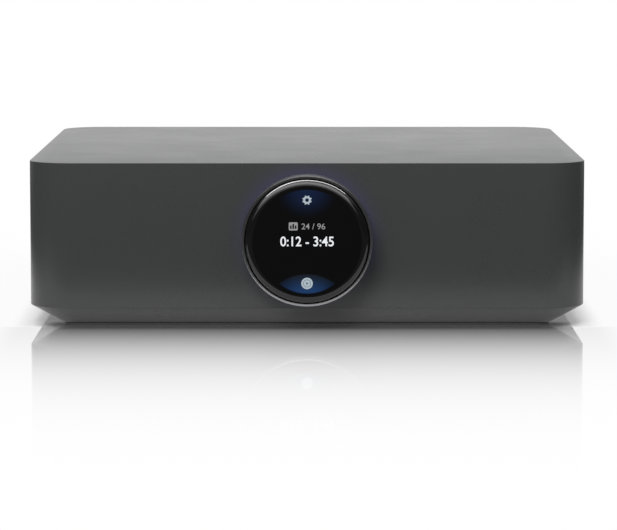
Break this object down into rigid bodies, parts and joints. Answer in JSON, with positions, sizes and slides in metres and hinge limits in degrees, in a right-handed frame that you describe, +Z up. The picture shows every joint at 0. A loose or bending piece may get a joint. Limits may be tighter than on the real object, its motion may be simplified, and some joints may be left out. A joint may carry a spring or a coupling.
{
  "type": "streaming amplifier",
  "caption": "Square metal case with rounded corners, a turning dial round a round screen in front, and sockets behind.",
  "frame": {"origin": "centre of the foot pad's underside", "axes": "+Z up, +X to the right as seen from the front, -Y out of the front face"},
  "size_m": [0.216, 0.2498, 0.064],
  "materials": {
    "case_coat": "fine satin coat, dark grey",
    "bare_aluminium": "milled, bare",
    "foot_silicone": "matte silicone",
    "panel_plastic": "fine moulded texture, black",
    "dark_screw": "blackened steel",
    "steel_screw": "plated steel",
    "dial_metal": "turned and anodised, near black",
    "bush_plastic": "natural acetal",
    "magnet_rubber": "bonded ferrite",
    "light_guide": "milky acrylic",
    "circuit_board": "green solder mask",
    "lamp": "moulded lamp",
    "carrier_plastic": "black, glass filled",
    "screen": "round liquid crystal cell",
    "cover_glass": "black printed glass with a clear window",
    "ribbon": "polyimide film",
    "terminal_metal": "gold plated brass",
    "terminal_red": "red moulding",
    "terminal_black": "black moulding",
    "phono_white": "white moulding",
    "plated_steel": "nickel plated sheet",
    "socket_plastic": "black moulding",
    "chip_epoxy": "moulded epoxy",
    "coil_copper": "enamelled copper",
    "ferrite": "sintered ferrite",
    "can_sleeve": "printed sleeve without words"
  },
  "bodies": {
    "case": {"top_case": "case_coat", "base_plate": "bare_aluminium", "foot_pad": "foot_silicone", "base_screws": "steel_screw", "rear_panel": "panel_plastic", "panel_screws": "dark_screw", "dial_spindle": "bare_aluminium", "spindle_screws": "steel_screw", "light_guide": "light_guide", "lamp_board": "circuit_board", "dial_lamps": "lamp", "screen_carrier": "carrier_plastic", "carrier_screws": "steel_screw", "screen_module": "screen", "cover_glass": "cover_glass", "screen_ribbon": "ribbon", "terminal_studs": "terminal_metal", "terminal_nuts": "steel_screw", "red_insulators": "terminal_red", "black_insulators": "terminal_black", "terminal_board": "circuit_board", "phono_block": "socket_plastic", "phono_shells": "terminal_metal", "white_phono_inserts": "phono_white", "red_phono_inserts": "terminal_red", "phono_contacts": "terminal_metal", "video_shell": "plated_steel", "video_tongue": "socket_plastic", "network_socket": "socket_plastic", "network_contacts": "terminal_metal", "optical_socket": "socket_plastic", "reset_switch": "socket_plastic", "mains_inlet": "socket_plastic", "mains_pins": "plated_steel", "main_board": "circuit_board", "power_board": "circuit_board", "board_standoffs": "steel_screw", "board_screws": "steel_screw", "board_link": "socket_plastic", "amplifier_chips": "chip_epoxy", "heat_sink": "bare_aluminium", "output_coils": "ferrite", "power_transformer": "ferrite", "storage_capacitors": "can_sleeve", "mains_choke": "coil_copper", "shield_covers": "plated_steel", "antennas": "circuit_board"},
    "dial": {"dial_ring": "dial_metal", "dial_bush": "bush_plastic", "magnet_ring": "magnet_rubber"},
    "washer_1": {"clamp_washer_1": "terminal_metal"},
    "cap_1": {"thumb_cap_1": "terminal_black"},
    "washer_2": {"clamp_washer_2": "terminal_metal"},
    "cap_2": {"thumb_cap_2": "terminal_red"},
    "washer_3": {"clamp_washer_3": "terminal_metal"},
    "cap_3": {"thumb_cap_3": "terminal_black"},
    "washer_4": {"clamp_washer_4": "terminal_metal"},
    "cap_4": {"thumb_cap_4": "terminal_red"},
    "shutter": {"optical_shutter": "socket_plastic"},
    "reset": {"reset_button": "phono_white"}
  },
  "joints": [
    {"name": "dial_turn", "type": "hinge", "parent": "case", "child": "dial", "pos_m": [0, -0.108, 0.0351], "axis": [0, -1, 0], "continuous": true},
    {"name": "washer_slide_1", "type": "slide", "parent": "case", "child": "washer_1", "axis": [0, 1, 0], "range_m": [0, 0.004]},
    {"name": "cap_turn_1", "type": "hinge", "parent": "washer_1", "child": "cap_1", "pos_m": [-0.077, 0.1125, 0.0216], "axis": [0, 1, 0], "range_deg": [0, 1441]},
    {"name": "washer_slide_2", "type": "slide", "parent": "case", "child": "washer_2", "axis": [0, 1, 0], "range_m": [0, 0.004]},
    {"name": "cap_turn_2", "type": "hinge", "parent": "washer_2", "child": "cap_2", "pos_m": [-0.077, 0.1125, 0.0406], "axis": [0, 1, 0], "range_deg": [0, 1441]},
    {"name": "washer_slide_3", "type": "slide", "parent": "case", "child": "washer_3", "axis": [0, 1, 0], "range_m": [0, 0.004]},
    {"name": "cap_turn_3", "type": "hinge", "parent": "washer_3", "child": "cap_3", "pos_m": [-0.058, 0.1125, 0.0216], "axis": [0, 1, 0], "range_deg": [0, 1441]},
    {"name": "washer_slide_4", "type": "slide", "parent": "case", "child": "washer_4", "axis": [0, 1, 0], "range_m": [0, 0.004]},
    {"name": "cap_turn_4", "type": "hinge", "parent": "washer_4", "child": "cap_4", "pos_m": [-0.058, 0.1125, 0.0406], "axis": [0, 1, 0], "range_deg": [0, 1441]},
    {"name": "shutter_swing", "type": "hinge", "parent": "case", "child": "shutter", "pos_m": [-0.008, 0.107, 0.02365], "axis": [1, 0, 0], "range_deg": [-78, 0], "stiffness_Nm_per_rad": 0.0001, "springref_deg": 11.46},
    {"name": "reset_press", "type": "slide", "parent": "case", "child": "reset", "axis": [0, -1, 0], "range_m": [0, 0.0008], "stiffness_N_per_m": 1000}
  ],
  "couplings": [
    {"joint": "cap_turn_1", "follows": "washer_slide_1", "rad_per_m": 6283.2},
    {"joint": "cap_turn_2", "follows": "washer_slide_2", "rad_per_m": 6283.2},
    {"joint": "cap_turn_3", "follows": "washer_slide_3", "rad_per_m": 6283.2},
    {"joint": "cap_turn_4", "follows": "washer_slide_4", "rad_per_m": 6283.2}
  ]
}
